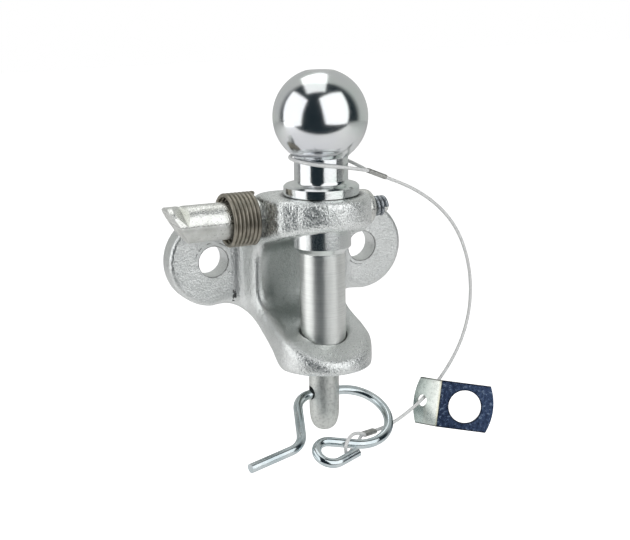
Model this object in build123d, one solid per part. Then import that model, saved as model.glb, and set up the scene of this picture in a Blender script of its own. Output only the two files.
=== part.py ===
from build123d import *
import math
import os

# Ball and pin hitch. Millimetres, +Z up, +Y towards the vehicle, ball side at -Y.
# The origin is midway between the two bolt holes, on the back face of the mounting plate.

# Mounting plate
bolt_spacing = 90.0
bolt_hole_diameter = 17.0
lobe_diameter = 50.0
plate_thickness = 13.0
plate_front_round = 2.5
plate_back_round = 1.0
plate_root_round = 5.0

# Ball and pin, one turned piece
pin_reach = 57.0
ball_diameter = 50.0
ball_height = 81.5
ball_flat_diameter = 16.0
ball_foot_diameter = 32.0
neck_diameter = 28.5
neck_foot_round = 2.5
flange_diameter = 40.0
flange_thickness = 5.2
flange_chamfer = 1.0
seat_diameter = 37.0
seat_thickness = 0.4
guide_diameter = 31.0
guide_bottom = 9.7
guide_chamfer = 3.3
shank_diameter = 24.4
shank_end_inset = 2.0
tail_diameter = 16.2
tail_tip = -88.4
tail_nose_length = 13.4
tail_tip_diameter = 6.0
tail_tip_slope = 0.35
clip_hole_diameter = 7.5
clip_hole_height = -67.4

# Jaws of the casting
jaw_top = 40.5
crown_reach = 30.5
crown_foot_below_rim = 4.0
crown_round = 9.0
upper_lip_radius = 26.3
upper_lip_bottom = 26.0
upper_throat_slope = 0.31
lower_lip_radius = 26.0
lower_rim_height = -32.8
lower_rim_slope = 0.36
lower_nose_reach = 6.0
lower_nose_drop = 4.0
jaw_bottom = -52.5
heel_start = 0.5
heel_drop = 1.5
web_reach = 28.5
web_half_width = 27.0
root_half_width = 31.0
root_sink = 6.0
throat_round = 10.0
nose_round = 12.0
top_edge_round = 3.5
throat_edge_round = 5.0
bottom_edge_round = 2.0
top_band = 3.0
bottom_band = 6.0
same_place = 0.1
nearly_straight = 0.999
nearly_upright = 0.95

# Channel along the inside of the jaws
channel_half_width = 22.5
channel_depth = 3.6
channel_bed = 11.0
channel_overcut = 1.5
channel_lip_slope = 0.25
channel_web_sink = 1.5
channel_roof_drop = 2.0
channel_floor_slope = 0.284
channel_floor_height = -30.0

# Flat boss that carries the spindle and its spring
boss_reach = 29.0
boss_front = 66.0
boss_back = 16.0
boss_bottom = 13.0
boss_round = 6.0
boss_tuck = 0.4
boss_inner = 8.0

# Fits
guide_clearance = 0.15
shank_clearance = 0.6
spindle_clearance = 0.1
notch_clearance = 0.3
seat_gap = 0.3
cut_past = 1.0

# Locking spindle
spindle_diameter = 20.0
spindle_reach = 36.0
spindle_height = 27.0
spindle_right_end = 39.7
spindle_end_round = 4.4
stub_diameter = 6.8
stub_length = 9.0
horn_tip = 79.5
horn_tip_bottom = 35.0
horn_root = 68.0
thumb_groove_lean = 30.0
thumb_groove_line = 70.3
thumb_groove_height = 5.4
thumb_groove_right = 68.2
thumb_groove_left = 78.6
unlock_turn = 90.0

# Return spring and the small coil at the other end
spring_wire = 2.2
spring_outside = 29.0
spring_turns = 7.25
spring_pitch = 2.23
spring_start_turn = 90.0
end_coil_wire = 2.2
end_coil_outside = 11.3
end_coil_turns = 2.5
end_coil_pitch = 2.4
end_coil_start_turn = 90.0

# Retaining clip, bent from one wire in one plane
clip_wire = 5.1
clip_swing = 60.0
clip_leg_start = -7.0
clip_leg_length = 15.5
clip_ring_radius = 19.9
clip_ring_turn = 198.2
clip_waist_length = 13.9
clip_eye_radius = 7.5
clip_eye_turn = 218.2
clip_eye_end = 12.7
clip_heel_radius = 12.5
clip_heel_turn = 73.9
clip_shin_length = 18.5
clip_knee_radius = 14.0
clip_knee_turn = 58.4
clip_handle_length = 26.0

# Tether: coated wire, two ferrules and a bolt-on tab
cord_diameter = 1.9
arc_share = 0.45
ferrule_wall = 0.35
neck_ferrule_length = 11.0
clip_ferrule_length = 8.5
tab_thickness = 2.0
tab_width = 25.4
tab_long_side = 26.8
tab_short_side = 13.6
tab_end_bulge = 2.8
tab_bend = 36.0
tab_bolt_hole = 17.7
tab_bolt_hole_reach = 14.1
tab_cord_hole = 6.5
tab_cord_hole_reach = 11.3
tab_place = (57.0, -82.1, -75.9)
tab_facing = -24.4
tab_lean = -12.8
tab_roll = 8.2

# Routes of the coated wire, as points of its centre line
neck_ferrule_start = (19.8, -72.3, 53.6)
neck_ferrule_heading = (10.7, 0.3, -4.5)
clip_ferrule_start = (9.3, -86.0, -84.8)
clip_ferrule_heading = (9.4, 4.0, -0.4)
neck_route = [
    (6.7, -73.2, 56.4), (-6.7, -73.2, 58.0), (-16.2, -63.7, 59.6), (-16.2, -50.3, 60.4), (-6.7, -40.8, 60.4),
    (6.7, -40.8, 59.2), (16.2, -50.3, 57.2), (18.2, -61.5, 55.6),
]
main_route = [
    (34.9, -71.9, 47.2), (41.0, -71.4, 44.6), (49.3, -70.6, 40.4), (58.8, -69.6, 34.2), (68.0, -68.4, 26.2),
    (75.7, -67.4, 16.6), (81.3, -66.7, 5.1), (84.7, -66.5, -8.1), (85.3, -66.8, -21.6), (83.2, -67.3, -35.0),
    (78.1, -67.9, -48.2), (70.9, -68.4, -59.4), (62.9, -69.0, -68.4), (56.4, -70.2, -73.4), (50.6, -72.6, -76.3),
    (44.2, -75.0, -78.9), (37.6, -75.9, -82.2), (30.8, -76.6, -85.0), (23.6, -79.9, -85.4),
]
clip_route = [
    (4.8, -88.1, -82.4), (-1.2, -91.7, -82.2), (-5.4, -94.8, -85.5), (-5.3, -94.3, -89.5), (-3.2, -91.1, -92.8),
    (2.1, -87.3, -91.8), (6.4, -85.8, -88.2),
]

pin_y = -pin_reach
plate_rim = lobe_diameter / 2
crown_foot = plate_rim - crown_foot_below_rim
heel_height = -plate_rim - heel_drop
web_y = -web_reach
crown_y = -crown_reach
spindle_y = -spindle_reach
flange_bottom = jaw_top + seat_thickness
flange_top = flange_bottom + flange_thickness
clip_leg_z = clip_hole_height - clip_hole_diameter / 2 + clip_wire / 2 + seat_gap


def side_plane(x):
    return Plane(origin=(x, 0, 0), x_dir=(0, 1, 0), z_dir=(1, 0, 0))


def upright(diameter, bottom, top):
    """Cylinder on the pin line."""
    rod = Cylinder(diameter / 2, top - bottom, align=(Align.CENTER, Align.CENTER, Align.MIN))
    return Pos(0, pin_y, bottom) * rod


def crosswise(diameter, y, z, left, right):
    """Cylinder along X."""
    rod = Cylinder(diameter / 2, right - left, align=(Align.CENTER, Align.CENTER, Align.MIN))
    return Pos(left, y, z) * Rot(0, 90, 0) * rod


def upper_throat(y):
    return upper_lip_bottom - upper_throat_slope * (y - pin_y + upper_lip_radius)


def lower_rim(y):
    return lower_rim_height + lower_rim_slope * (y - pin_y)


def channel_roof(y):
    return upper_throat(y) - channel_roof_drop


def channel_floor(y):
    return channel_floor_height + channel_floor_slope * (y - pin_y)


def jaw_side():
    """Both jaws and the web seen from the side."""
    front = pin_y - upper_lip_radius - lower_nose_drop
    crown_slope = (jaw_top - crown_foot) / crown_reach
    nose_y = pin_y - lower_nose_reach
    crown = (crown_y, jaw_top)
    throat_top = (web_y, upper_throat(web_y))
    throat_foot = (web_y, lower_rim(web_y))
    nose = (nose_y, lower_rim(nose_y))
    heel = (pin_y - heel_start, jaw_bottom)
    outline = [
        (-root_sink, crown_foot + crown_slope * root_sink), crown, (front, jaw_top),
        (front, upper_throat(front)), throat_top, throat_foot,
        nose, (front, lower_rim(front) - lower_nose_drop), (front, jaw_bottom),
        heel, (-root_sink, heel_height),
    ]
    rounds = [(crown, crown_round), (throat_top, throat_round), (throat_foot, throat_round),
              (nose, nose_round), (heel, nose_round)]
    with BuildSketch() as side:
        with BuildLine():
            Polyline(*outline, close=True)
        make_face()
        for corner, radius in rounds:
            fillet(side.vertices().sort_by_distance(corner)[0], radius)
    return side_plane(0) * side.sketch


def jaw_plan(lip_radius):
    """One jaw seen from above: a round lip, straight sides and a flare into the plate."""
    spread = root_half_width - web_half_width
    flare = (spread ** 2 + (web_reach - plate_thickness) ** 2) / (2 * spread)
    angle = math.asin((web_reach - root_sink) / flare)
    ends = [(web_half_width + flare * (1 - math.cos(a)), web_y + flare * math.sin(a))
            for a in (0, angle / 2, angle)]
    with BuildSketch() as plan:
        with BuildLine() as half:
            Line((0, -root_sink), ends[2])
            ThreePointArc(ends[2], ends[1], ends[0])
            Spline(ends[0], (lip_radius, pin_y), tangents=((0, -1), (0, -1)))
            CenterArc((0, pin_y), lip_radius, 0, -90)
            mirror(half.line, Plane.YZ)
        make_face()
    return plan.sketch


def rim_edges(jaws):
    """Edges where the side walls meet the faces of the side outline, as top, throat and bottom."""
    groups = {"top": [], "throat": [], "bottom": []}
    for edge in jaws.edges():
        along = edge.tangent_at(0.5)
        at = edge.center()
        level = edge.geom_type == GeomType.LINE and abs(along.X) > nearly_straight
        plumb = edge.geom_type == GeomType.LINE and abs(along.Z) > nearly_straight
        on_web = abs(at.Y - web_y) < same_place
        on_pin_line = abs(at.Y - pin_y) < same_place
        in_plate = abs(at.Y + root_sink) < same_place
        if level or (plumb and (on_web or on_pin_line)) or in_plate:
            continue
        if at.Z > upper_throat(at.Y) + top_band or (at.Y > web_y and at.Z > 0):
            groups["top"].append(edge)
        elif at.Y > web_y or at.Z < lower_rim(at.Y) - bottom_band:
            groups["bottom"].append(edge)
        else:
            groups["throat"].append(edge)
    return groups


def round_edges(solid, edges, radius):
    """Rounds the solid's edges that lie where the given ones lay."""
    found = [min(solid.edges(), key=lambda e: (e.center() - old.center()).length) for old in edges]
    return solid.fillet(radius, found)


def channel():
    """Hollow that follows the inside of the jaws and ends round about the pin line."""
    sunk = web_y + channel_web_sink
    corners = [(pin_y, channel_roof(pin_y)), (sunk, channel_roof(sunk)),
               (sunk, channel_floor(sunk)), (pin_y, channel_floor(pin_y))]
    with BuildLine(side_plane(0)) as line:
        FilletPolyline(*corners, radius=throat_round)
    route = line.wire()
    lip = (channel_half_width + channel_overcut, channel_overcut * channel_lip_slope)
    bed = (channel_bed, -channel_depth)
    with BuildSketch() as half:
        with BuildLine():
            Polyline(bed, (0, -channel_depth), (0, channel_overcut), (lip[0], channel_overcut), lip)
            Spline(lip, bed, tangents=((-1, -channel_lip_slope), (-1, 0)))
        make_face()
    full = half.sketch + mirror(half.sketch, Plane.YZ)
    start = Plane(origin=route @ 0, x_dir=(1, 0, 0), z_dir=route % 0)
    hollow = sweep(start * full, route)
    for at in (0, 1):
        end = Plane(origin=route @ at, x_dir=(1, 0, 0), z_dir=route % at)
        hollow += revolve(end * half.sketch, Axis(end.origin, end.y_dir), 360)
    return hollow


def mounting_plate():
    with BuildPart() as plate:
        with BuildSketch(Plane.XZ):
            SlotCenterToCenter(bolt_spacing, lobe_diameter)
        extrude(amount=plate_thickness)
        fillet(plate.edges().group_by(Axis.Y)[0], plate_front_round)
        fillet(plate.edges().group_by(Axis.Y)[-1], plate_back_round)
    return plate.part


def spindle_boss(side):
    """Flat on the left of the upper jaw, led round into its lip."""
    corner = (-boss_reach, -boss_front)
    with BuildSketch(Plane.XY.offset(boss_bottom)) as plan:
        with BuildLine():
            CenterArc((0, pin_y), upper_lip_radius - boss_tuck, 0, 360)
            Line((-boss_reach, -boss_back), corner)
        make_hull()
        fillet(plan.vertices().sort_by_distance(corner)[0], boss_round)
    left_half = Plane.YZ.offset(-boss_inner) * Rectangle(4 * boss_front, 4 * jaw_top)
    left = extrude(left_half, amount=-boss_reach)
    block = (extrude(plan.sketch, amount=jaw_top - boss_bottom) & side & left).solids()[0]
    outer = [e for e in block.edges()
             if e.center().X < -boss_inner - same_place and e.center().Y < -boss_back - same_place]
    rims = [e for e in outer if abs((e % 0.5).Z) < nearly_upright]
    throat = [e for e in rims if abs(e.center().Z - upper_throat(e.center().Y)) < 3 * same_place]
    top = [e for e in rims if e.center().Z > jaw_top - same_place]
    block = block.fillet(throat_edge_round, throat)
    return round_edges(block, top, top_edge_round)


def hitch_body():
    span = 2 * root_half_width
    side = extrude(jaw_side(), amount=span, both=True)
    half_height = jaw_top - jaw_bottom
    plans = extrude(jaw_plan(upper_lip_radius), amount=half_height)
    plans += extrude(jaw_plan(lower_lip_radius), amount=-half_height)
    jaws = (side & plans).clean().solids()[0]
    groups = rim_edges(jaws)
    jaws = round_edges(jaws, groups["throat"], throat_edge_round)
    jaws = round_edges(jaws, groups["top"], top_edge_round)
    jaws = round_edges(jaws, groups["bottom"], bottom_edge_round)
    body = (mounting_plate() + jaws).solids()[0]
    root = [e for e in body.edges()
            if abs(e.center().Y + plate_thickness) < same_place / 2 and abs(e.center().X) < bolt_spacing / 2]
    body = body.fillet(plate_root_round, root)
    body = body + spindle_boss(side) - channel()
    body -= upright(guide_diameter + 2 * guide_clearance, 0, jaw_top + cut_past)
    body -= upright(shank_diameter + 2 * shank_clearance, jaw_bottom - cut_past, 0)
    body -= crosswise(spindle_diameter + 2 * spindle_clearance, spindle_y, spindle_height, -span, span)
    hole_depth = 2 * (plate_thickness + cut_past)
    for x in (-bolt_spacing / 2, bolt_spacing / 2):
        body -= Pos(x, 0, 0) * Rot(90, 0, 0) * Cylinder(bolt_hole_diameter / 2, hole_depth)
    return body.solids()[0]


def ball_pin():
    ball_r = ball_diameter / 2
    flat_r = ball_flat_diameter / 2
    foot_r = ball_foot_diameter / 2
    neck_r = neck_diameter / 2
    flat_z = ball_height + math.sqrt(ball_r ** 2 - flat_r ** 2)
    foot_z = ball_height - math.sqrt(ball_r ** 2 - foot_r ** 2)
    neck_z = foot_z - (foot_r - neck_r)
    flange_r = flange_diameter / 2
    guide_r = guide_diameter / 2
    shank_r = shank_diameter / 2
    tail_r = tail_diameter / 2
    shank_bottom = jaw_bottom + shank_end_inset
    tail_step = shank_r - tail_r
    nose_top = tail_tip + tail_nose_length
    arc_step = neck_foot_round * (1 - math.sqrt(0.5))
    with BuildSketch(Plane(origin=(0, pin_y, 0), x_dir=(1, 0, 0), z_dir=(0, -1, 0))) as half:
        with BuildLine():
            Line((0, tail_tip), (0, flat_z))
            Line((0, flat_z), (flat_r, flat_z))
            ThreePointArc((flat_r, flat_z), (ball_r, ball_height), (foot_r, foot_z))
            Polyline((foot_r, foot_z), (neck_r, neck_z), (neck_r, flange_top + neck_foot_round))
            ThreePointArc((neck_r, flange_top + neck_foot_round), (neck_r + arc_step, flange_top + arc_step),
                          (neck_r + neck_foot_round, flange_top))
            Polyline((neck_r + neck_foot_round, flange_top), (flange_r - flange_chamfer, flange_top),
                     (flange_r, flange_top - flange_chamfer), (flange_r, flange_bottom),
                     (seat_diameter / 2, flange_bottom), (seat_diameter / 2, jaw_top), (guide_r, jaw_top),
                     (guide_r, guide_bottom + guide_chamfer), (shank_r, guide_bottom),
                     (shank_r, shank_bottom + tail_step), (tail_r, shank_bottom), (tail_r, nose_top))
            Spline((tail_r, nose_top), (tail_tip_diameter / 2, tail_tip), tangents=((0, -1), (-1, -tail_tip_slope)))
            Line((tail_tip_diameter / 2, tail_tip), (0, tail_tip))
        make_face()
    pin = revolve(half.sketch, Axis((0, pin_y, 0), (0, 0, 1)), 360)
    notch = spindle_diameter + 2 * notch_clearance
    pin -= crosswise(notch, spindle_y, spindle_height, -flange_r, flange_r)
    pin -= crosswise(clip_hole_diameter, pin_y, clip_hole_height, -shank_r, shank_r)
    return pin.solids()[0]


def locking_spindle():
    radius = spindle_diameter / 2
    with BuildPart() as bar:
        add(crosswise(spindle_diameter, spindle_y, spindle_height, -horn_tip, spindle_right_end))
        fillet(bar.faces().sort_by(Axis.X)[-1].edges(), spindle_end_round)
        add(crosswise(stub_diameter, spindle_y, spindle_height, 0, spindle_right_end + stub_length))
    bottom = spindle_height - radius
    beyond = -horn_tip - cut_past
    with BuildSketch(Plane.XZ) as undercut:
        with BuildLine():
            Polyline((beyond, horn_tip_bottom), (-horn_tip, horn_tip_bottom), (-horn_root, bottom),
                     (-horn_root, bottom - cut_past), (beyond, bottom - cut_past), close=True)
        make_face()
    lean = math.radians(thumb_groove_lean)
    across = Plane(origin=(0, spindle_y, spindle_height), x_dir=(1, 0, 0),
                   z_dir=(0, -math.cos(lean), -math.sin(lean)))
    above = radius + cut_past
    with BuildSketch(across) as groove:
        with BuildLine():
            Polyline((-thumb_groove_line, thumb_groove_height), (-thumb_groove_right, above),
                     (-thumb_groove_left, above), close=True)
        make_face()
    spindle = bar.part - extrude(undercut.sketch, amount=2 * spindle_reach)
    spindle -= extrude(groove.sketch, amount=above, both=True)
    release = Pos(0, spindle_y, spindle_height) * Rot(-unlock_turn, 0, 0) * Pos(0, -spindle_y, -spindle_height)
    release *= upright(guide_diameter + 2 * notch_clearance, spindle_height - above, spindle_height + above)
    return (spindle - release).solids()[0]


def coil(wire, outside, turns, pitch, start_x, start_turn):
    """Close-wound wire about the spindle line, growing towards +X."""
    radius = (outside - wire) / 2
    path = Helix(pitch, turns * pitch, radius)
    section = Plane(origin=path @ 0, z_dir=path % 0) * Circle(wire / 2)
    return Pos(start_x + wire / 2, spindle_y, spindle_height) * Rot(start_turn, 90, 0) * sweep(section, path)


def spindle_spring():
    length = spring_turns * spring_pitch + spring_wire
    start_x = -boss_reach - seat_gap - length
    return coil(spring_wire, spring_outside, spring_turns, spring_pitch, start_x, spring_start_turn)


def spindle_end_coil():
    start_x = spindle_right_end + seat_gap
    return coil(end_coil_wire, end_coil_outside, end_coil_turns, end_coil_pitch, start_x, end_coil_start_turn)


def clip_plane():
    swing = math.radians(clip_swing)
    forward = math.sin(swing)
    down = math.cos(swing)
    return Plane(origin=(0, pin_y, clip_leg_z), x_dir=(1, 0, 0), z_dir=(0, down, -forward))


def retaining_clip():
    """Leg through the pin, ring and eye on one side, heel and handle on the other."""
    with BuildLine(clip_plane()) as line:
        leg = Line((clip_leg_start, 0), (clip_leg_start + clip_leg_length, 0))
        ring = JernArc(leg @ 1, (1, 0), clip_ring_radius, clip_ring_turn)
        waist = PolarLine(ring @ 1, clip_waist_length, clip_ring_turn)
        eye = JernArc(waist @ 1, (math.cos(math.radians(clip_ring_turn)), math.sin(math.radians(clip_ring_turn))),
                      clip_eye_radius, -clip_eye_turn)
        PolarLine(eye @ 1, clip_eye_end, clip_ring_turn - clip_eye_turn)
        heel = JernArc(leg @ 0, (-1, 0), clip_heel_radius, -clip_heel_turn)
        shin_angle = 180 - clip_heel_turn
        shin = PolarLine(heel @ 1, clip_shin_length, shin_angle)
        knee = JernArc(shin @ 1, (math.cos(math.radians(shin_angle)), math.sin(math.radians(shin_angle))),
                       clip_knee_radius, clip_knee_turn)
        PolarLine(knee @ 1, clip_handle_length, shin_angle + clip_knee_turn)
    route = line.wire()
    section = Plane(origin=route @ 0, z_dir=route % 0) * Circle(clip_wire / 2)
    return sweep(section, route)


def cord(points, name):
    """Round tube along straight runs joined by arcs as large as the runs allow."""
    corners = [Vector(*p) for p in points]
    radii = []
    for before, at, after in zip(corners, corners[1:], corners[2:]):
        run_in = at - before
        run_out = after - at
        turn = math.radians(run_in.get_angle(run_out))
        radii.append(arc_share * min(run_in.length, run_out.length) / math.tan(turn / 2))
    path = FilletPolyline(*corners, radius=radii)
    tube = sweep(Plane(origin=path @ 0, z_dir=path % 0) * Circle(cord_diameter / 2), path)
    share = tube.volume / (math.pi * cord_diameter ** 2 / 4 * path.length)
    print(name, "length", round(path.length, 1), "radii", [round(r, 1) for r in radii], "volume share", round(share, 4))
    return tube


def ferrule_plane(start, heading):
    """Plane on a ferrule's first end face: x across the two wires, z along the ferrule."""
    along = Vector(*heading).normalized()
    return Plane(origin=start, x_dir=along.cross(Vector(0, 0, 1)), z_dir=along)


def ferrule(start, heading, length):
    width = 2 * cord_diameter + 2 * ferrule_wall
    height = cord_diameter + 2 * ferrule_wall
    face = ferrule_plane(start, heading) * SlotOverall(width, height)
    return extrude(face, amount=length)


def wire_ends(start, heading):
    """The two places where a loop enters its ferrule, the nearer one first."""
    plane = ferrule_plane(start, heading)
    step = cord_diameter / 2
    return [tuple(plane.origin + plane.x_dir * side * step) for side in (1, -1)]


def ferrule_end(start, heading, length):
    plane = ferrule_plane(start, heading)
    return tuple(plane.origin + plane.z_dir * length)


def tether_neck_loop():
    first, last = wire_ends(neck_ferrule_start, neck_ferrule_heading)
    return cord([first] + neck_route + [last], "tether_neck_loop")


def tether_clip_loop():
    first, last = wire_ends(clip_ferrule_start, clip_ferrule_heading)
    return cord([first] + clip_route + [last], "tether_clip_loop")


def tether_cord():
    first = ferrule_end(neck_ferrule_start, neck_ferrule_heading, neck_ferrule_length)
    last = ferrule_end(clip_ferrule_start, clip_ferrule_heading, clip_ferrule_length)
    return cord([first] + main_route + [last], "tether_cord")


def tab_side(length):
    """Flat half of the tab from the bend line to its bulged end."""
    half = tab_width / 2
    with BuildSketch() as flat:
        with BuildLine():
            Polyline((length, half), (0, half), (0, -half), (length, -half))
            ThreePointArc((length, half), (length + tab_end_bulge, 0), (length, -half))
        make_face()
    return flat.sketch


def tether_tab():
    right = tab_side(tab_long_side) - Pos(tab_bolt_hole_reach, 0) * Circle(tab_bolt_hole / 2)
    left = tab_side(tab_short_side) - Pos(tab_cord_hole_reach, 0) * Circle(tab_cord_hole / 2)
    sheet = extrude(right, amount=-tab_thickness)
    sheet += Rot(0, -tab_bend, 0) * Rot(0, 0, 180) * extrude(left, amount=-tab_thickness)
    upright_sheet = Rot(90, 0, 0) * sheet
    return Pos(*tab_place) * Rot(0, 0, tab_facing) * Rot(tab_lean, 0, 0) * Rot(0, tab_roll, 0) * upright_sheet


nodes = {
    "hitch_body": hitch_body,
    "ball_pin": ball_pin,
    "locking_spindle": locking_spindle,
    "spindle_spring": spindle_spring,
    "spindle_end_coil": spindle_end_coil,
    "retaining_clip": retaining_clip,
    "tether_cord": tether_cord,
    "tether_neck_loop": tether_neck_loop,
    "tether_clip_loop": tether_clip_loop,
    "neck_ferrule": lambda: ferrule(neck_ferrule_start, neck_ferrule_heading, neck_ferrule_length),
    "clip_ferrule": lambda: ferrule(clip_ferrule_start, clip_ferrule_heading, clip_ferrule_length),
    "tether_tab": tether_tab,
}

os.makedirs("parts", exist_ok=True)
for name, make in nodes.items():
    shape = make()
    shape.label = name
    export_step(shape, f"parts/{name}.step")
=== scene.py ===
import bpy
import bmesh
import math
from mathutils import Matrix, Vector, noise


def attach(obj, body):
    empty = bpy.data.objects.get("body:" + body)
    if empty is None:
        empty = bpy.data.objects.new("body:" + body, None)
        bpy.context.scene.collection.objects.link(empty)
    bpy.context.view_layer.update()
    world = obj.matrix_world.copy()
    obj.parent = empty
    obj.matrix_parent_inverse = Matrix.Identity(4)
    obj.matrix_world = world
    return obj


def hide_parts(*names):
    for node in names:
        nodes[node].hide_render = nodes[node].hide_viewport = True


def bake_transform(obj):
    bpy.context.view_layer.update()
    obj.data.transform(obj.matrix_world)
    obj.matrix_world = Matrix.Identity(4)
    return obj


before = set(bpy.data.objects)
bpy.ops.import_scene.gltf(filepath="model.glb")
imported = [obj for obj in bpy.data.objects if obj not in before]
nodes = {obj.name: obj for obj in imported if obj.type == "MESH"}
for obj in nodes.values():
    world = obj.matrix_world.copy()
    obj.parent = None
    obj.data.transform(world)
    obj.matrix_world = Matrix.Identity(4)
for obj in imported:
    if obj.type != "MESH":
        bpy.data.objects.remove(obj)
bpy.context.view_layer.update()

scene = bpy.context.scene
print("frame loaded with", len(nodes), "nodes")


# Camera, at the photograph's angle

cameraSettings = dict(
    azimuth=-24.4,          # degrees, to the left of the front
    elevation=12.8,
    roll=-0.86,
    distance=0.818,         # metres from the target
    target=(-0.0038, -0.0558, -0.0003),
    lens=88.0,
)

def makeCamera(s):
    turn = (Matrix.Rotation(math.radians(s["azimuth"]), 4, "Z")
            @ Matrix.Rotation(math.radians(90 - s["elevation"]), 4, "X")
            @ Matrix.Rotation(math.radians(s["roll"]), 4, "Z"))
    data = bpy.data.cameras.new("hitchCamera")
    data.lens = s["lens"]
    data.sensor_width = 36
    data.sensor_fit = "HORIZONTAL"
    camera = bpy.data.objects.new("hitchCamera", data)
    camera.matrix_world = Matrix.Translation(s["target"]) @ turn @ Matrix.Translation((0, 0, s["distance"]))
    scene.collection.objects.link(camera)
    scene.camera = camera
    scene.view_settings.view_transform = "Standard"

makeCamera(cameraSettings)
print("camera set")


# Small helpers for node materials

class Mat:
    def __init__(self, name, color, metallic, roughness):
        self.mat = bpy.data.materials.new(name)
        self.mat.use_nodes = True
        self.nodes = self.mat.node_tree.nodes
        self.links = self.mat.node_tree.links
        self.shader = self.nodes["Principled BSDF"]
        self.shader.inputs["Base Color"].default_value = (*color, 1)
        self.shader.inputs["Metallic"].default_value = metallic
        self.shader.inputs["Roughness"].default_value = roughness
        self.place = self.nodes.new("ShaderNodeTexCoord").outputs["Object"]

    def node(self, kind, settings=None, **inputs):
        made = self.nodes.new("ShaderNode" + kind)
        for key, value in (settings or {}).items():
            setattr(made, key, value)
        for key, value in inputs.items():
            socket = made.inputs[key.replace("_", " ")]
            if isinstance(value, bpy.types.NodeSocket):
                self.links.new(value, socket)
            else:
                socket.default_value = value
        return made

    def stretched(self, scale):
        return self.node("Mapping", Vector=self.place, Scale=scale).outputs["Vector"]

    def noise(self, scale, detail=4.0, rough=0.55, vector=None):
        made = self.node("TexNoise", Vector=vector or self.place, Scale=scale, Detail=detail, Roughness=rough)
        return made.outputs["Fac"]

    def ramp(self, factor, stops):
        made = self.node("ValToRGB", Fac=factor)
        band = made.color_ramp
        while len(band.elements) < len(stops):
            band.elements.new(0.5)
        for element, (at, color) in zip(band.elements, stops):
            element.position = at
            element.color = (*color, 1) if isinstance(color, tuple) else (color, color, color, 1)
        return made.outputs["Color"]

    def bump(self, height, strength, distance, after=None):
        made = self.node("Bump", Height=height, Strength=strength, Distance=distance)
        if after is not None:
            self.links.new(after, made.inputs["Normal"])
        return made.outputs["Normal"]

    def math(self, operation, first, second=0.0):
        made = self.node("Math", {"operation": operation})
        for socket, value in zip(made.inputs, (first, second)):
            if isinstance(value, bpy.types.NodeSocket):
                self.links.new(value, socket)
            else:
                socket.default_value = value
        return made.outputs[0]

    def times(self, first, *others):
        for other in others:
            first = self.math("MULTIPLY", first, other)
        return first

    def outFrom(self, first, second):       # distance from an axis, of two distances across it
        squares = [self.math("POWER", side, 2.0) for side in (first, second)]
        return self.math("SQRT", self.math("ADD", *squares))

    def offBy(self, value, centre):
        return self.math("ABSOLUTE", self.math("SUBTRACT", value, centre))

    def within(self, value, centre, reach):
        return self.math("LESS_THAN", self.offBy(value, centre), reach)

    def fade(self, value, start, full, to=(0.0, 1.0)):
        made = self.node("MapRange", Value=value, From_Min=start, From_Max=full, To_Min=to[0], To_Max=to[1])
        return made.outputs[0]

    def tint(self, color, over, amount, blend="MULTIPLY"):
        made = self.nodes.new("ShaderNodeMix")
        made.data_type = "RGBA"
        made.blend_type = blend
        for at, value in ((6, color), (7, over)):
            self.links.new(value, made.inputs[at])
        if isinstance(amount, bpy.types.NodeSocket):
            self.links.new(amount, made.inputs[0])
        else:
            made.inputs[0].default_value = amount
        return made.outputs[2]

    def distanceAlong(self, axis, start):
        made = self.nodes.new("ShaderNodeVectorMath")
        made.operation = "DOT_PRODUCT"
        self.links.new(self.place, made.inputs[0])
        made.inputs[1].default_value = axis
        return self.math("SUBTRACT", made.outputs["Value"], axis.dot(Vector(start)))

    def use(self, **sockets):
        for key, value in sockets.items():
            self.links.new(value, self.shader.inputs[key.replace("_", " ")])
        return self.mat


def dress(piece, material):
    piece.data.materials.clear()
    piece.data.materials.append(material)


def newPiece(name, mesh, material, body):
    piece = bpy.data.objects.new(name, mesh)
    scene.collection.objects.link(piece)
    dress(piece, material)
    if body:
        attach(piece, body)
    return piece


# Coated wire: the tether's three stretches

wireSettings = dict(
    diameter=0.0019,
    sides=20,
    ringsPerMetre=3200,
    coating=(0.84, 0.85, 0.84),
    strand=(0.66, 0.67, 0.67),
    strandTurns=420.0,      # twists per metre, seen through the coating
    strands=3,
)

neckFerrule = dict(start=(0.0198, -0.0723, 0.0536), heading=(10.7, 0.3, -4.5), length=0.011)
clipFerrule = dict(start=(0.0093, -0.0860, -0.0848), heading=(9.4, 4.0, -0.4), length=0.0085)

# routes in millimetres
neckRoute = [
    (6.7, -73.2, 56.4), (-6.7, -73.2, 58.0), (-16.2, -63.7, 59.6), (-16.2, -50.3, 60.4),
    (-6.7, -40.8, 60.4), (6.7, -40.8, 59.2), (16.2, -50.3, 57.2), (18.2, -61.5, 55.6),
]
mainRoute = [
    (34.9, -71.9, 47.2), (41.0, -71.4, 44.6), (49.3, -70.6, 40.4), (58.8, -69.6, 34.2),
    (68.0, -68.4, 26.2), (75.7, -67.4, 16.6), (81.3, -66.7, 5.1), (84.7, -66.5, -8.1),
    (85.3, -66.8, -21.6), (83.2, -67.3, -35.0), (78.1, -67.9, -48.2), (70.9, -68.4, -59.4),
    (62.9, -69.0, -68.4), (56.4, -70.2, -73.4), (50.6, -72.6, -76.3), (44.2, -75.0, -78.9),
    (37.6, -75.9, -82.2), (30.8, -76.6, -85.0), (23.6, -79.9, -85.4),
]
clipRoute = [
    (4.8, -88.1, -82.4), (-1.2, -91.7, -82.2), (-5.4, -94.8, -85.5), (-5.3, -94.3, -89.5),
    (-3.2, -91.1, -92.8), (2.1, -87.3, -91.8), (6.4, -85.8, -88.2),
]

def inMetres(points):
    return [Vector(p) / 1000 for p in points]

def ferruleFrame(f):
    along = Vector(f["heading"]).normalized()
    across = along.cross(Vector((0, 0, 1))).normalized()
    return Vector(f["start"]), along, across

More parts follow.
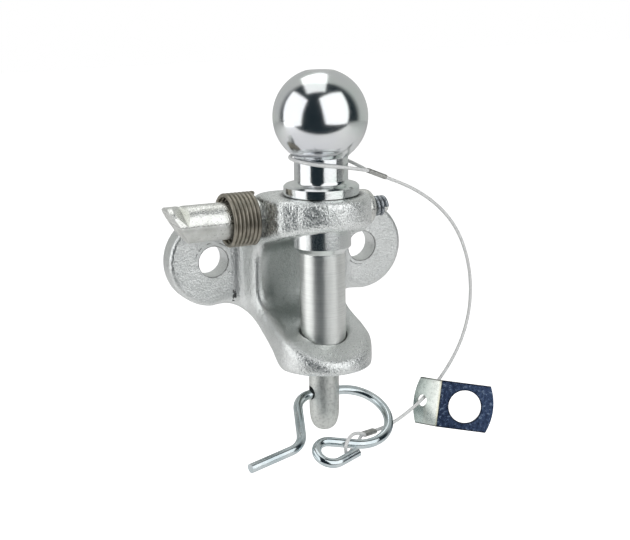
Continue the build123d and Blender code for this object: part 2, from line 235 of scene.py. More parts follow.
def wireEnds(f):
    start, along, across = ferruleFrame(f)
    step = wireSettings["diameter"] / 2
    return start + across * step, start - across * step

def farEnd(f):
    start, along = ferruleFrame(f)[:2]
    return start + along * f["length"]

def centreLine(name, points):
    data = bpy.data.curves.new(name, "CURVE")
    data.dimensions = "3D"
    data.resolution_u = 24
    line = data.splines.new("NURBS")
    line.points.add(len(points) - 1)
    for point, at in zip(line.points, points):
        point.co = (*at, 1)
    line.order_u = 3
    line.use_endpoint_u = True
    holder = bpy.data.objects.new(name, data)
    scene.collection.objects.link(holder)
    bpy.context.view_layer.update()
    mesh = bpy.data.meshes.new_from_object(holder)
    found = [v.co.copy() for v in mesh.vertices]
    bpy.data.objects.remove(holder)
    bpy.data.curves.remove(data)
    bpy.data.meshes.remove(mesh)
    return found

def evenSteps(points, step):
    lengths = [0.0]
    for a, b in zip(points, points[1:]):
        lengths.append(lengths[-1] + (b - a).length)
    count = max(2, round(lengths[-1] / step))
    result, i = [], 0
    for k in range(count + 1):
        want = lengths[-1] * k / count
        while i < len(points) - 2 and lengths[i + 1] < want:
            i += 1
        span = lengths[i + 1] - lengths[i]
        result.append(points[i].lerp(points[i + 1], (want - lengths[i]) / span if span else 0))
    return result, lengths[-1]

def tube(name, path, radius, sides):
    bm = bmesh.new()
    uvLayer = bm.loops.layers.uv.new("along")
    rings, side, travelled = [], None, [0.0]
    for i, at in enumerate(path):
        tangent = (path[min(i + 1, len(path) - 1)] - path[max(i - 1, 0)]).normalized()
        if side is None:
            side = tangent.orthogonal().normalized()
        side = (side - tangent * side.dot(tangent)).normalized()
        other = tangent.cross(side)
        rings.append([bm.verts.new(at + (side * math.cos(a) + other * math.sin(a)) * radius)
                      for a in (2 * math.pi * k / sides for k in range(sides))])
        if i:
            travelled.append(travelled[-1] + (at - path[i - 1]).length)
    for i in range(len(rings) - 1):
        for k in range(sides):
            n = (k + 1) % sides
            face = bm.faces.new((rings[i][k], rings[i][n], rings[i + 1][n], rings[i + 1][k]))
            face.smooth = True
            spots = ((k, i), (k + 1, i), (k + 1, i + 1), (k, i + 1))
            for loop, (u, v) in zip(face.loops, spots):
                loop[uvLayer].uv = (u / sides, travelled[v])
    bm.faces.new(list(reversed(rings[0])))
    bm.faces.new(rings[-1])
    bmesh.ops.recalc_face_normals(bm, faces=bm.faces)
    mesh = bpy.data.meshes.new(name)
    bm.to_mesh(mesh)
    bm.free()
    return mesh

def coatedWireMaterial(s):
    m = Mat("coatedWire", s["coating"], 0.0, 0.28)
    uv = m.node("UVMap", {"uv_map": "along"}).outputs["UV"]
    parts = m.node("SeparateXYZ", Vector=uv).outputs
    twist = m.math("ADD", m.math("MULTIPLY", parts["Y"], s["strandTurns"]), parts["X"])
    wave = m.math("SINE", m.math("MULTIPLY", twist, 2 * math.pi * s["strands"]))
    shade = m.fade(wave, -1.0, 1.0)
    color = m.ramp(shade, [(0.0, s["strand"]), (1.0, s["coating"])])
    cloud = m.ramp(m.noise(900.0), [(0.3, 0.86), (0.7, 1.0)])
    m.shader.inputs["Coat Weight"].default_value = 0.7
    m.shader.inputs["Coat Roughness"].default_value = 0.10
    m.shader.inputs["Subsurface Weight"].default_value = 0.2
    m.shader.inputs["Subsurface Radius"].default_value = (0.001, 0.001, 0.001)
    m.shader.inputs["Subsurface Scale"].default_value = 1.0
    return m.use(Base_Color=m.tint(color, cloud, 1.0), Normal=m.bump(shade, 0.2, 0.00008))

coatedWire = coatedWireMaterial(wireSettings)

def layWire(name, points, body, node):
    line = centreLine(name + "Line", points)
    path, length = evenSteps(line, 1 / wireSettings["ringsPerMetre"])
    mesh = tube(name, path, wireSettings["diameter"] / 2, wireSettings["sides"])
    piece = newPiece(name, mesh, coatedWire, body)
    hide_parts(node)
    print(name, "is", round(length * 1000, 1), "mm long")
    return piece, path, length

neckNear, neckFar = wireEnds(neckFerrule)
clipNear, clipFar = wireEnds(clipFerrule)
neckLoop, neckPath, neckLength = layWire(
    "neckLoop", [neckNear, *inMetres(neckRoute), neckFar], "hitch", "tether_neck_loop")
mainWire, mainPath, mainLength = layWire(
    "mainWire", [farEnd(neckFerrule), *inMetres(mainRoute), farEnd(clipFerrule)], None, "tether_cord")
clipLoop, clipPath, clipLength = layWire(
    "clipLoop", [clipNear, *inMetres(clipRoute), clipFar], "clip", "tether_clip_loop")
print("coated wire laid")


# Studio, as the ball mirrors it: a soft box on each side, one overhead, a dark room behind the camera,
# a pale table and backdrop

studio = dict(
    ball=(0, -0.057, 0.0815),   # what the soft boxes face
    floorHeight=-0.32,
    floorSize=9.0,
    floorColor=0.80,
    floorWhite=0.85,            # added for the camera, so that the ground is white
    floorMirrored=0.10,         # added for reflections in the metal
    daylight=0.30,              # even light from all round
    backdrop=(0.50, 0.51, 0.50),
    room=(0.013, 0.022, 0.028),
    roomLeft=-112, roomRight=104,   # degrees from the camera's own direction
    roomBlend=22,               # degrees over which the room turns into the backdrop
    roomReach=2.4,
    tableEdge=0.545,            # the mirrored table ends this far from the ball towards the camera
    coverWidth=6.0, coverEnd=3.0,   # past that edge a dark card covers the floor
    coverLift=0.002,
)
softBoxes = dict(
    left=dict(azimuth=-72, elevation=15, distance=1.2, width=1.28, height=1.50, brightness=1.25),
    right=dict(azimuth=40, elevation=22, distance=1.2, width=1.50, height=1.72, brightness=1.25),
)
overheadBox = dict(right=-0.20, front=-0.22, above=1.2, width=0.90, depth=1.50, brightness=1.05)

def lookVectors():
    a = math.radians(cameraSettings["azimuth"])
    return Vector((math.cos(a), math.sin(a), 0)), Vector((math.sin(a), -math.cos(a), 0))

def fromBall(azimuth, elevation, distance):
    a, e = math.radians(azimuth), math.radians(elevation)
    right, front = lookVectors()
    away = (right * math.sin(a) + front * math.cos(a)) * math.cos(e) + Vector((0, 0, math.sin(e)))
    return Vector(studio["ball"]) + away * distance

def areaLamp(name, place, width, height, brightness):
    data = bpy.data.lights.new(name, "AREA")
    data.shape = "RECTANGLE"
    data.size = width
    data.size_y = height
    data.energy = brightness * math.pi * width * height
    lamp = bpy.data.objects.new(name, data)
    lamp.location = place
    lamp.rotation_euler = (Vector(studio["ball"]) - place).to_track_quat("-Z", "Y").to_euler()
    scene.collection.objects.link(lamp)
    return lamp

def seenBy(tree, amounts):
    paths = tree.nodes.new("ShaderNodeLightPath")
    total = None
    for ray, amount in amounts.items():
        part = tree.nodes.new("ShaderNodeMath")
        part.operation = "MULTIPLY"
        part.inputs[1].default_value = amount
        tree.links.new(paths.outputs[ray], part.inputs[0])
        if total is None:
            total = part.outputs[0]
            continue
        larger = tree.nodes.new("ShaderNodeMath")
        larger.operation = "MAXIMUM"
        tree.links.new(total, larger.inputs[0])
        tree.links.new(part.outputs[0], larger.inputs[1])
        total = larger.outputs[0]
    return total

def makeWorld(s):
    world = bpy.data.worlds.new("studioWorld")
    world.use_nodes = True
    tree = world.node_tree
    ground = tree.nodes["Background"]
    ground.inputs["Color"].default_value = (1, 1, 1, 1)
    strength = tree.nodes.new("ShaderNodeMapRange")
    strength.inputs["To Min"].default_value = s["daylight"]
    strength.inputs["To Max"].default_value = 1.0
    seen = seenBy(tree, {"Is Camera Ray": 1, "Is Glossy Ray": 1, "Is Transmission Ray": 1})
    tree.links.new(seen, strength.inputs["Value"])
    tree.links.new(strength.outputs["Result"], ground.inputs["Strength"])
    scene.world = world

def stageMesh(name, corners, faces):
    mesh = bpy.data.meshes.new(name)
    mesh.from_pydata([tuple(c) for c in corners], [], faces)
    piece = bpy.data.objects.new(name, mesh)
    scene.collection.objects.link(piece)
    return piece

def makeFloor(s):
    half = s["floorSize"] / 2
    z = s["floorHeight"]
    corners = [(-half, -half, z), (half, -half, z), (half, half, z), (-half, half, z)]
    floor = stageMesh("paleFloor", corners, [(0, 1, 2, 3)])
    mat = bpy.data.materials.new("paleFloor")
    mat.use_nodes = True
    tree = mat.node_tree
    shader = tree.nodes["Principled BSDF"]
    shader.inputs["Base Color"].default_value = (s["floorColor"],) * 3 + (1,)
    shader.inputs["Roughness"].default_value = 0.9
    shader.inputs["Emission Color"].default_value = (1, 1, 1, 1)
    seen = seenBy(tree, {"Is Camera Ray": s["floorWhite"], "Is Glossy Ray": s["floorMirrored"],
                         "Is Transmission Ray": s["floorWhite"]})
    tree.links.new(seen, shader.inputs["Emission Strength"])
    floor.data.materials.append(mat)

def mirrorCard(name, corners, faces, colors):
    card = stageMesh(name, corners, faces)
    shade = card.data.color_attributes.new("shade", "FLOAT_COLOR", "POINT")
    for value, color in zip(shade.data, colors):
        value.color = (*color, 1)
    mat = bpy.data.materials.new(name)
    mat.use_nodes = True
    tree = mat.node_tree
    shader = tree.nodes["Principled BSDF"]
    shader.inputs["Base Color"].default_value = (0, 0, 0, 1)
    shader.inputs["Roughness"].default_value = 1.0
    shader.inputs["Specular IOR Level"].default_value = 0.0
    shader.inputs["Emission Strength"].default_value = 1.0
    painted = tree.nodes.new("ShaderNodeVertexColor")
    painted.layer_name = "shade"
    tree.links.new(painted.outputs["Color"], shader.inputs["Emission Color"])
    card.data.materials.append(mat)
    for kind in ("camera", "diffuse", "shadow", "transmission", "volume_scatter"):
        setattr(card, "visible_" + kind, False)

def easeInOut(value):
    t = min(1.0, max(0.0, value))
    return t * t * (3 - 2 * t)

def easeOver(value, start, full):
    return easeInOut((value - start) / (full - start))

def wallColor(s, azimuth):
    toBackdrop = max(s["roomLeft"] - azimuth, azimuth - s["roomRight"]) / s["roomBlend"] + 0.5
    t = easeInOut(toBackdrop)
    return tuple(r + (b - r) * t for r, b in zip(s["room"], s["backdrop"]))

def studioWalls(s, low=-30, high=90, step=6):
    corners, colors, faces = [], [], []
    columns, rows = 360 // step, (high - low) // step
    for i in range(columns + 1):
        azimuth = -180 + i * step
        for j in range(rows + 1):
            corners.append(fromBall(azimuth, low + j * step, s["roomReach"]))
            colors.append(wallColor(s, azimuth))
    for i in range(columns):
        for j in range(rows):
            a = i * (rows + 1) + j
            faces.append((a, a + rows + 1, a + rows + 2, a + 1))
    mirrorCard("studioWalls", corners, faces, colors)

def tableEnd(s):
    right, front = lookVectors()
    foot = Vector((s["ball"][0], s["ball"][1], s["floorHeight"] + s["coverLift"]))
    half, near, far = s["coverWidth"] / 2, s["tableEdge"], s["coverEnd"]
    spots = ((-half, near), (half, near), (half, far), (-half, far))
    corners = [foot + right * x + front * y for x, y in spots]
    mirrorCard("tableEnd", corners, [(0, 1, 2, 3)], [s["room"]] * 4)

makeWorld(studio)
makeFloor(studio)
for side, s in softBoxes.items():
    boxPlace = fromBall(s["azimuth"], s["elevation"], s["distance"])
    areaLamp(side + "Box", boxPlace, s["width"], s["height"], s["brightness"])
boxRight, boxFront = lookVectors()
overheadPlace = (Vector(studio["ball"]) + boxRight * overheadBox["right"] + boxFront * overheadBox["front"]
                 + Vector((0, 0, overheadBox["above"])))
overhead = areaLamp("overheadBox", overheadPlace, overheadBox["width"], overheadBox["depth"],
                    overheadBox["brightness"])
overhead.rotation_euler = (0, 0, math.radians(cameraSettings["azimuth"]))
studioWalls(studio)
tableEnd(studio)
print("studio lit")


# Finishes

hitchPlaces = dict(pinY=-0.057, boltX=0.045, spindleY=-0.036, spindleZ=0.027)

castFinish = dict(
    dark=(0.87, 0.895, 0.88), light=(0.97, 0.99, 0.98),
    plateTone=0.88,
    rough=(0.23, 0.34), plateRough=0.05, hollowRough=0.10,
    grainDepth=(0.00036, 0.00056),          # on the plate and on the jaw
    # each zone fades in from its first value to its second, in metres
    jawHeight=(0.004, 0.016), jawForward=(-0.020, -0.044),
    noseForward=(-0.066, -0.076), noseShare=0.6,
    hollowSide=(0.021, 0.017), hollowHeight=(0.016, 0.008),
    hollowFront=(-0.048, -0.036), hollowBack=(-0.018, -0.022),
    plateFront=(-0.0122, -0.0126),
    # the dark ring round each bolt hole ends over this span
    boltRimDark=(0.0090, 0.0096),               # out from the bolt's axis
    seatTop=(0.0385, 0.0395),
    # the painted shadow under the flange fades out over this span
    flangeShadowReach=(0.0200, 0.0228),               # out from the pin's axis
    # the boss's painted shade and scale fade in over this facing
    scaleAndShadeFacing=(-0.80, -0.96),             # not metres, but how squarely a face looks to the left
    # marks
    washerRadius=0.0112, washerLine=0.00028, washerWobble=0.0010,
    nickX=-0.0335, nickZ=-0.0200, nickHalfWidth=0.0010, nickHalfHeight=0.0034, nickBack=-0.010,
)

def castZinc(s):
    m = Mat("castZinc", (0.78, 0.80, 0.79), 1.0, 0.34)
    place = m.node("SeparateXYZ", Vector=m.place).outputs
    surface = m.node("NewGeometry").outputs
    facing = m.node("SeparateXYZ", Vector=surface["Normal"]).outputs
    grain = m.noise(980.0, 2.0, 0.5)
    lumps = m.noise(380.0, 2.0, 0.5)
    specks = m.noise(1500.0, 1.0, 0.5)

    # the upper jaw and the lower one's nose were cast rougher than the plate
    high = m.fade(place["Z"], *s["jawHeight"])
    forward = m.fade(place["Y"], *s["jawForward"])
    nose = m.fade(place["Y"], *s["noseForward"], to=(0.0, s["noseShare"]))
    jaw = m.math("MAXIMUM", m.times(high, forward), nose)
    color = m.ramp(m.noise(60.0, 5.0), [(0.32, s["dark"]), (0.68, s["light"])])
    color = m.tint(color, m.ramp(jaw, [(0.0, s["plateTone"]), (1.0, 1.0)]), 1.0)
    color = m.tint(color, m.ramp(specks, [(0.32, 0.55), (0.50, 1.0)]), 0.3)

    # dark mottled scale and painted shade on the boss's left-facing faces behind the spring
    scale = m.times(m.fade(facing["X"], *s["scaleAndShadeFacing"]), high, forward)
    color = m.tint(color, m.ramp(lumps, [(0.36, 0.34), (0.62, 0.92)]), scale)

    # painted shade darkens the hollow between the jaws, which is also made duller
    inside = m.times(m.fade(m.math("ABSOLUTE", place["X"]), *s["hollowSide"]),
                     m.fade(place["Z"], *s["hollowHeight"]))
    shadedHollow = m.times(inside, m.fade(place["Y"], *s["hollowFront"]), m.fade(place["Y"], *s["hollowBack"]))
    color = m.tint(color, m.ramp(lumps, [(0.3, (0.62, 0.65, 0.64)), (0.7, (0.70, 0.72, 0.71))]), shadedHollow)

    # painted shade darkens the creases
    wearAndCreaseShade = m.ramp(surface["Pointiness"], [(0.44, 0.76), (0.49, 0.98), (0.56, 1.0)])
    color = m.tint(color, wearAndCreaseShade, 1.0)

    # a dark ring round each bolt hole's front edge, and washer marks
    atFront = m.fade(place["Y"], *s["plateFront"])
    besideBolt = m.math("SUBTRACT", m.math("ABSOLUTE", place["X"]), hitchPlaces["boltX"])
    fromBolt = m.outFrom(besideBolt, place["Z"])
    ragged = m.math("ADD", fromBolt, m.times(m.noise(500.0, 2.0), s["washerWobble"]))
    color = m.tint(color, m.ramp(m.fade(ragged, *s["boltRimDark"]), [(0.0, 0.22), (1.0, 1.0)]), atFront)
    washer = m.times(m.within(ragged, s["washerRadius"], s["washerLine"]),
                     m.math("GREATER_THAN", m.noise(160.0, 2.0), 0.56))
    color = m.tint(color, m.ramp(specks, [(0.3, 0.25), (0.7, 0.6)]), m.times(washer, atFront))

    # painted shadow under the flange, round its seat
    fromPin = m.outFrom(place["X"], m.math("SUBTRACT", place["Y"], hitchPlaces["pinY"]))
    flangeShadow = m.ramp(m.fade(fromPin, *s["flangeShadowReach"]), [(0.0, 0.16), (0.5, 0.45), (1.0, 1.0)])
    color = m.tint(color, flangeShadow, m.fade(place["Z"], *s["seatTop"]))

    # a nick where the left lobe meets the web
    nick = m.times(m.within(place["X"], s["nickX"], s["nickHalfWidth"]),
                   m.within(place["Z"], s["nickZ"], s["nickHalfHeight"]),
                   m.math("LESS_THAN", place["Y"], s["nickBack"]),
                   m.math("GREATER_THAN", m.noise(420.0, 2.0), 0.46))
    color = m.tint(color, m.ramp(specks, [(0.3, 0.10), (0.7, 0.25)]), nick)

    plain = m.times(m.math("SUBTRACT", 1.0, jaw), s["plateRough"])
    duller = m.math("ADD", plain, m.times(shadedHollow, s["hollowRough"]))
    rough = m.math("ADD", m.ramp(grain, [(0.35, s["rough"][0]), (0.65, s["rough"][1])]), duller)
    depth = m.fade(jaw, 0.0, 1.0, to=s["grainDepth"])
    first = m.bump(grain, 0.7, depth)
    second = m.bump(lumps, 0.5, depth, first)
    return m.use(Base_Color=color, Roughness=rough, Normal=m.bump(specks, 0.5, 0.0003, second))

pinFinish = dict(
    tailZinc=(0.74, 0.76, 0.73), bareShank=(0.93, 0.95, 0.92),
    guide=(0.84, 0.86, 0.85), ball=(0.82, 0.84, 0.84),
    violet=(0.95, 0.94, 1.0), green=(0.93, 1.0, 0.96),
)
# heights where the pin's finish changes, in metres
pinZones = dict(
    low=-0.0884, tail=-0.0505, tailTop=-0.048564, shankTop=0.008926, shank=0.0097, guideFoot=0.011636,
    plated=0.02776, guide=0.029696, flange=0.035504, neck=0.050992, high=0.1052,
)

def pinSteel(s, zones):
    m = Mat("pinSteel", (0.80, 0.82, 0.83), 1.0, 0.17)
    height = m.node("SeparateXYZ", Vector=m.place).outputs["Z"]
    zone = m.fade(height, zones["low"], zones["high"])
    z = {name: (at - zones["low"]) / (zones["high"] - zones["low"]) for name, at in zones.items()}

    def along(**stops):
        return m.ramp(zone, [(z[name], value) for name, value in stops.items()])

    rough = along(low=0.42, tail=0.38, tailTop=0.33, shankTop=0.31, shank=0.20,
                  guide=0.18, flange=0.14, neck=0.15, high=0.16)
    base = along(low=s["tailZinc"], tail=s["tailZinc"], tailTop=s["bareShank"], shankTop=s["bareShank"],
                 shank=s["guide"], high=s["ball"])
    # clear zinc plating is faintly violet and green
    film = m.ramp(m.noise(34.0, 2.0), [(0.34, s["violet"]), (0.5, (1, 1, 1)), (0.66, s["green"])])
    color = m.tint(base, film, along(shank=0.0, plated=0.7, high=0.7))
    # specks on the tail, turning lines on the shank
    wearAndCreaseShade = m.noise(700.0, 3.0, 0.6)
    speckled = along(tail=1.0, tailTop=0.10, high=0.08)
    color = m.tint(color, m.ramp(wearAndCreaseShade, [(0.34, 0.78), (0.52, 1.0)]), speckled)
    turned = m.noise(1.0, 3.0, 0.7, m.stretched((30.0, 30.0, 1500.0)))
    shown = along(tail=0.4, tailTop=0.8, shank=0.7, guideFoot=0.1, high=0.05)
    color = m.tint(color, m.ramp(turned, [(0.32, 0.80), (0.60, 1.0)]), shown)
    lines = along(tail=0.3, tailTop=1.0, shank=0.8, guideFoot=0.10, high=0.05)
    first = m.bump(m.times(turned, lines), 0.5, 0.0002)
    second = m.bump(m.times(wearAndCreaseShade, speckled), 0.6, 0.0004, first)
    return m.use(Base_Color=color, Roughness=rough, Normal=second)

spindleFinish = dict(
    dark=(0.72, 0.73, 0.69), light=(0.97, 0.98, 0.95),
    rough=(0.22, 0.36), lowRough=0.14, lowTone=0.86,
    edge=0.0272, edgeWobble=0.0012, edgeLine=(0.0006, 0.0011), dullBelow=0.0252,   # heights in metres
)

def roughZinc(s):
    m = Mat("roughZinc", (0.74, 0.75, 0.73), 1.0, 0.34)
    height = m.node("SeparateXYZ", Vector=m.place).outputs["Z"]
    grain = m.noise(1500.0, 2.0)
    color = m.ramp(m.noise(160.0, 5.0), [(0.3, s["dark"]), (0.7, s["light"])])
    color = m.tint(color, m.ramp(m.noise(800.0, 2.0), [(0.28, 0.5), (0.36, 1.0)]), 0.8)
    # a ragged dark line lengthwise near mid height, the bar darker and duller below it
    ragged = m.math("ADD", m.offBy(height, s["edge"]), m.times(m.noise(700.0, 2.0), s["edgeWobble"]))
    color = m.tint(color, m.ramp(m.fade(ragged, *s["edgeLine"]), [(0.0, 0.30), (1.0, 1.0)]), 0.8)
    low = m.fade(height, s["edge"], s["dullBelow"])
    color = m.tint(color, m.ramp(low, [(0.0, 1.0), (1.0, s["lowTone"])]), 1.0)
    grainRough = m.ramp(grain, [(0.3, s["rough"][0]), (0.75, s["rough"][1])])
    rough = m.math("ADD", grainRough, m.times(low, s["lowRough"]))
    first = m.bump(grain, 0.5, 0.0003)
    return m.use(Base_Color=color, Roughness=rough, Normal=m.bump(m.noise(500.0, 2.0), 0.4, 0.0004, first))

# plain is colour, metallic and roughness without the pattern; cloud, sheen and grain are noise scale and
# detail; rough holds the sheen's two stops; bump is the grain's strength and depth
smallFinishes = dict(
    springWire=dict(
        plain=((0.30, 0.27, 0.22), 0.9, 0.36),
        cloud=(240.0, 4.0), dark=(0.24, 0.22, 0.18), light=(0.40, 0.37, 0.31),
        sheen=(1800.0, 3.0), rough=((0.3, 0.3), (0.7, 0.45)),
        grain=(1800.0, 3.0), bump=(0.25, 0.0001)),
    darkZinc=dict(
        plain=((0.22, 0.26, 0.30), 1.0, 0.25),
        cloud=(400.0, 4.0), dark=(0.20, 0.22, 0.24), light=(0.48, 0.51, 0.54),
        sheen=(400.0, 4.0), rough=((0.3, 0.2), (0.7, 0.34)),
        grain=(1600.0, 4.0), bump=(0.15, 0.0001)),
    blueZinc=dict(
        plain=((0.68, 0.74, 0.76), 1.0, 0.16),
        cloud=(120.0, 4.0), dark=(0.54, 0.63, 0.66), light=(0.76, 0.81, 0.82),
        sheen=(600.0, 4.0), rough=((0.3, 0.09), (0.75, 0.20)),
        grain=(900.0, 2.0), bump=(0.12, 0.0001)),
    pressedAluminium=dict(
        plain=((0.50, 0.50, 0.48), 1.0, 0.38),
        cloud=(900.0, 4.0), dark=(0.34, 0.34, 0.32), light=(0.58, 0.58, 0.56),
        sheen=(900.0, 4.0), rough=((0.3, 0.3), (0.7, 0.48)),
        grain=(1500.0, 4.0), bump=(0.35, 0.0002)),
)

def smallMetal(name):
    s = smallFinishes[name]
    m = Mat(name, *s["plain"])
    color = m.ramp(m.noise(*s["cloud"]), [(0.3, s["dark"]), (0.7, s["light"])])
    rough = m.ramp(m.noise(*s["sheen"]), s["rough"])
    return m.use(Base_Color=color, Roughness=rough, Normal=m.bump(m.noise(*s["grain"]), *s["bump"]))

tabPlatingAndSheen = dict(
    bright=((0.76, 0.79, 0.77), (0.88, 0.90, 0.88)),
    dark=((0.035, 0.055, 0.115), (0.075, 0.115, 0.215), (0.30, 0.38, 0.50)),
    place=(0.0570, -0.0821, -0.0759),       # middle of the bend line, in metres
    facing=-24.4, lean=-12.8, roll=8.2,     # its turn in degrees
    holeReach=0.0141, holeRadius=0.00885, halfWidth=0.0127,
    # past the bend line the tab is dark blue, partly its blue plating and partly a painted dark reflection
    bend=(-0.0002, 0.0005),                 # the plating turns dark here, measured from the bend line
    # the painted highlight towards the bend starts here
    bendHighlightReach=-0.014,
    rimDark=0.0004, rimFull=0.0008,
)

def mottledZinc(s):
    m = Mat("mottledZinc", (0.66, 0.71, 0.77), 1.0, 0.2)
    turn = (Matrix.Rotation(math.radians(s["facing"]), 3, "Z")
            @ Matrix.Rotation(math.radians(s["lean"]), 3, "X")
            @ Matrix.Rotation(math.radians(s["roll"]), 3, "Y"))
    right, up = (m.distanceAlong(turn @ Vector(axis), s["place"]) for axis in ((1, 0, 0), (0, 0, 1)))
    mottle = m.noise(620.0, 5.0, 0.65)
    bright = m.ramp(m.noise(200.0, 4.0), list(zip((0.3, 0.7), s["bright"])))
    # painted highlight: darker at the tab's left end, white along the bend
    bendHighlight = m.ramp(m.fade(right, s["bendHighlightReach"], 0.0), [
        (0.0, (0.34, 0.40, 0.39)), (0.45, (0.62, 0.67, 0.64)),
        (0.90, (1.0, 1.0, 0.96)), (1.0, (0.80, 0.74, 0.56))])
    # dark blue past the bend: partly the blue plating, partly a painted dark reflection
    dark = m.ramp(mottle, list(zip((0.36, 0.56, 0.70), s["dark"])))
    side = m.fade(right, *s["bend"])
    color = m.tint(m.tint(bright, bendHighlight, 0.9), dark, side, "MIX")
    # painted dark reflections form rims at the bolt hole and along the sheared edges
    holeRim = m.math("SUBTRACT", m.outFrom(m.math("SUBTRACT", right, s["holeReach"]), up), s["holeRadius"])
    sideRim = m.math("SUBTRACT", s["halfWidth"], m.math("ABSOLUTE", up))
    rim = m.fade(m.math("MINIMUM", holeRim, sideRim), s["rimDark"], s["rimFull"])
    color = m.tint(color, m.ramp(rim, [(0.0, 0.30), (1.0, 1.0)]), 1.0)
    rough = m.ramp(mottle, [(0.35, 0.14), (0.65, 0.30)])
    return m.use(Base_Color=color, Roughness=rough, Normal=m.bump(m.times(mottle, side), 0.3, 0.0002))


# The casting: its edges run softly into one another, its surface is uneven, its bores are cut afterwards

castBodySettings = dict(
    voxel=0.0008,
    plugOverlap=0.0006,
    smoothing=260, smoothStep=0.5,
    lobeSoftness=0.03,                      # how much of that smoothing the plate's lobes get
    lipSoftness=0.10,                       # and the lips of both jaws
    lip=(-0.038, -0.054),                   # where the lips begin and where they are in full, in metres
    lobeStart=0.036, lobeFade=0.010,
    rootReach=0.010,                        # away from the rim the plate's root is softened farther out
    rim=(0.010, 0.020),
    unevenness=0.00008, jawUnevenness=0.00020, unevenSize=0.0045,
    flatBack=(-0.004, -0.001),
    sharpAngle=38,
    rodSides=96,
    solver="MANIFOLD",
)
# each bore: axis, centre, radius, cut from and to, plugged from and to while the rest is smoothed
bores = [
    dict(axis="Z", at=(0, hitchPlaces["pinY"]), radius=0.01565, cut=(0, 0.045), plug=(0.024, 0.0398)),
    dict(axis="Z", at=(0, hitchPlaces["pinY"]), radius=0.0128, cut=(-0.056, 0), plug=(-0.0520, -0.0385)),
    dict(axis="X", at=(hitchPlaces["spindleY"], hitchPlaces["spindleZ"]), radius=0.0101,
         cut=(-0.040, 0.040), plug=(-0.0285, 0.024)),
]
for side in (-1, 1):
    bores.append(dict(axis="Y", at=(side * hitchPlaces["boltX"], 0), radius=0.0085,
                      cut=(-0.020, 0.004), plug=(-0.0129, -0.0001)))

def addRod(bm, bore, reach, radius):
    middle, length = (reach[0] + reach[1]) / 2, reach[1] - reach[0]
    u, v = bore["at"]
    place, turn = {
        "X": ((middle, u, v), Matrix.Rotation(math.pi / 2, 4, "Y")),
        "Y": ((u, middle, v), Matrix.Rotation(math.pi / 2, 4, "X")),
        "Z": ((u, v, middle), Matrix()),
    }[bore["axis"]]
    bmesh.ops.create_cone(bm, cap_ends=True, segments=castBodySettings["rodSides"], depth=length,
                          radius1=radius, radius2=radius, matrix=Matrix.Translation(place) @ turn)

def worked(mesh, addModifier):
    holder = bpy.data.objects.new("holder", mesh)
    scene.collection.objects.link(holder)
    addModifier(holder)
    ready = holder.evaluated_get(bpy.context.evaluated_depsgraph_get())
    result = bpy.data.meshes.new_from_object(ready)
    bpy.data.objects.remove(holder)
    return result

def pluggedCasting(s):
    bm = bmesh.new()
    bm.from_mesh(nodes["hitch_body"].data)
    for bore in bores:
        addRod(bm, bore, bore["plug"], bore["radius"] + s["plugOverlap"])
    mesh = bpy.data.meshes.new("plugged")
    bm.to_mesh(mesh)
    bm.free()
    return mesh

def remeshed(mesh, s):
    def remesh(holder):
        made = holder.modifiers.new("even", "REMESH")
        made.mode = "VOXEL"
        made.voxel_size = s["voxel"]
    return worked(mesh, remesh)

def softness(at, s):
    atRim = easeOver(abs(at.z), *s["rim"])
    start = s["lobeStart"] + s["rootReach"] * (1 - atRim)
    lobe = easeOver(abs(at.x), start, start + s["lobeFade"])
    lip = easeOver(at.y, *s["lip"])
    return (1 - (1 - s["lobeSoftness"]) * lobe) * (1 - (1 - s["lipSoftness"]) * lip)

def softened(mesh, s):
    def smooth(holder):
        group = holder.vertex_groups.new(name="soft")
        for v in mesh.vertices:
            group.add([v.index], softness(v.co, s), "REPLACE")
        made = holder.modifiers.new("soft", "SMOOTH")
        made.factor = s["smoothStep"]
        made.iterations = s["smoothing"]
        made.vertex_group = "soft"
    return worked(mesh, smooth)

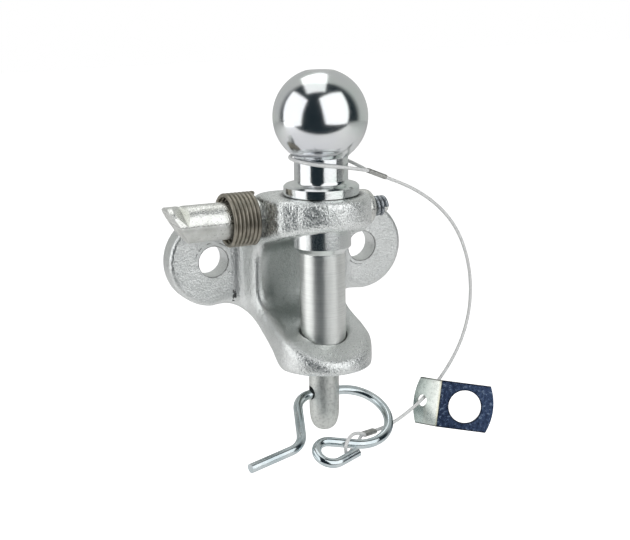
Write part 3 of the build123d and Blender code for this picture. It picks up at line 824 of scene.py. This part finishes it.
def roughen(mesh, s):
    moves = []
    for v in mesh.vertices:
        jaw = easeOver(v.co.z, *castFinish["jawHeight"]) * easeOver(v.co.y, *castFinish["jawForward"])
        depth = s["unevenness"] + (s["jawUnevenness"] - s["unevenness"]) * jaw
        back = easeOver(v.co.y, *s["flatBack"])
        amount = noise.fractal(v.co / s["unevenSize"], 1.0, 2.0, 3) * depth * (1 - back)
        moves.append(v.co + v.normal * amount)
    for v, place in zip(mesh.vertices, moves):
        v.co = (place.x, min(place.y, 0.0), place.z)
    mesh.update()

def bored(mesh, bore, s):
    bm = bmesh.new()
    addRod(bm, bore, bore["cut"], bore["radius"])
    rodMesh = bpy.data.meshes.new("rod")
    bm.to_mesh(rodMesh)
    bm.free()
    rod = bpy.data.objects.new("rod", rodMesh)
    scene.collection.objects.link(rod)

    def cutBore(holder):
        made = holder.modifiers.new("bore", "BOOLEAN")
        made.operation = "DIFFERENCE"
        made.solver = s["solver"]
        made.object = rod
    result = worked(mesh, cutBore)
    bpy.data.objects.remove(rod)
    return result

def castShape(s):
    mesh = softened(remeshed(pluggedCasting(s), s), s)
    roughen(mesh, s)
    for bore in bores:
        mesh = bored(mesh, bore, s)
    mesh.polygons.foreach_set("use_smooth", [True] * len(mesh.polygons))
    mesh.set_sharp_from_angle(angle=math.radians(s["sharpAngle"]))
    return mesh

finishes = {
    "hitch_body": castZinc(castFinish),
    "ball_pin": pinSteel(pinFinish, pinZones),
    "locking_spindle": roughZinc(spindleFinish),
    "spindle_spring": smallMetal("springWire"),
    "spindle_end_coil": smallMetal("darkZinc"),
    "retaining_clip": smallMetal("blueZinc"),
    "neck_ferrule": smallMetal("pressedAluminium"),
    "clip_ferrule": smallMetal("pressedAluminium"),
    "tether_tab": mottledZinc(tabPlatingAndSheen),
}
for nodeName, finish in finishes.items():
    dress(nodes[nodeName], finish)
castBody = newPiece("castBody", castShape(castBodySettings), finishes["hitch_body"], "hitch")
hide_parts("hitch_body")
print("finishes given, the casting has", len(castBody.data.vertices), "points")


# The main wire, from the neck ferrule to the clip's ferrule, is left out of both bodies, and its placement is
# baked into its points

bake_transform(mainWire)

print("pieces done")
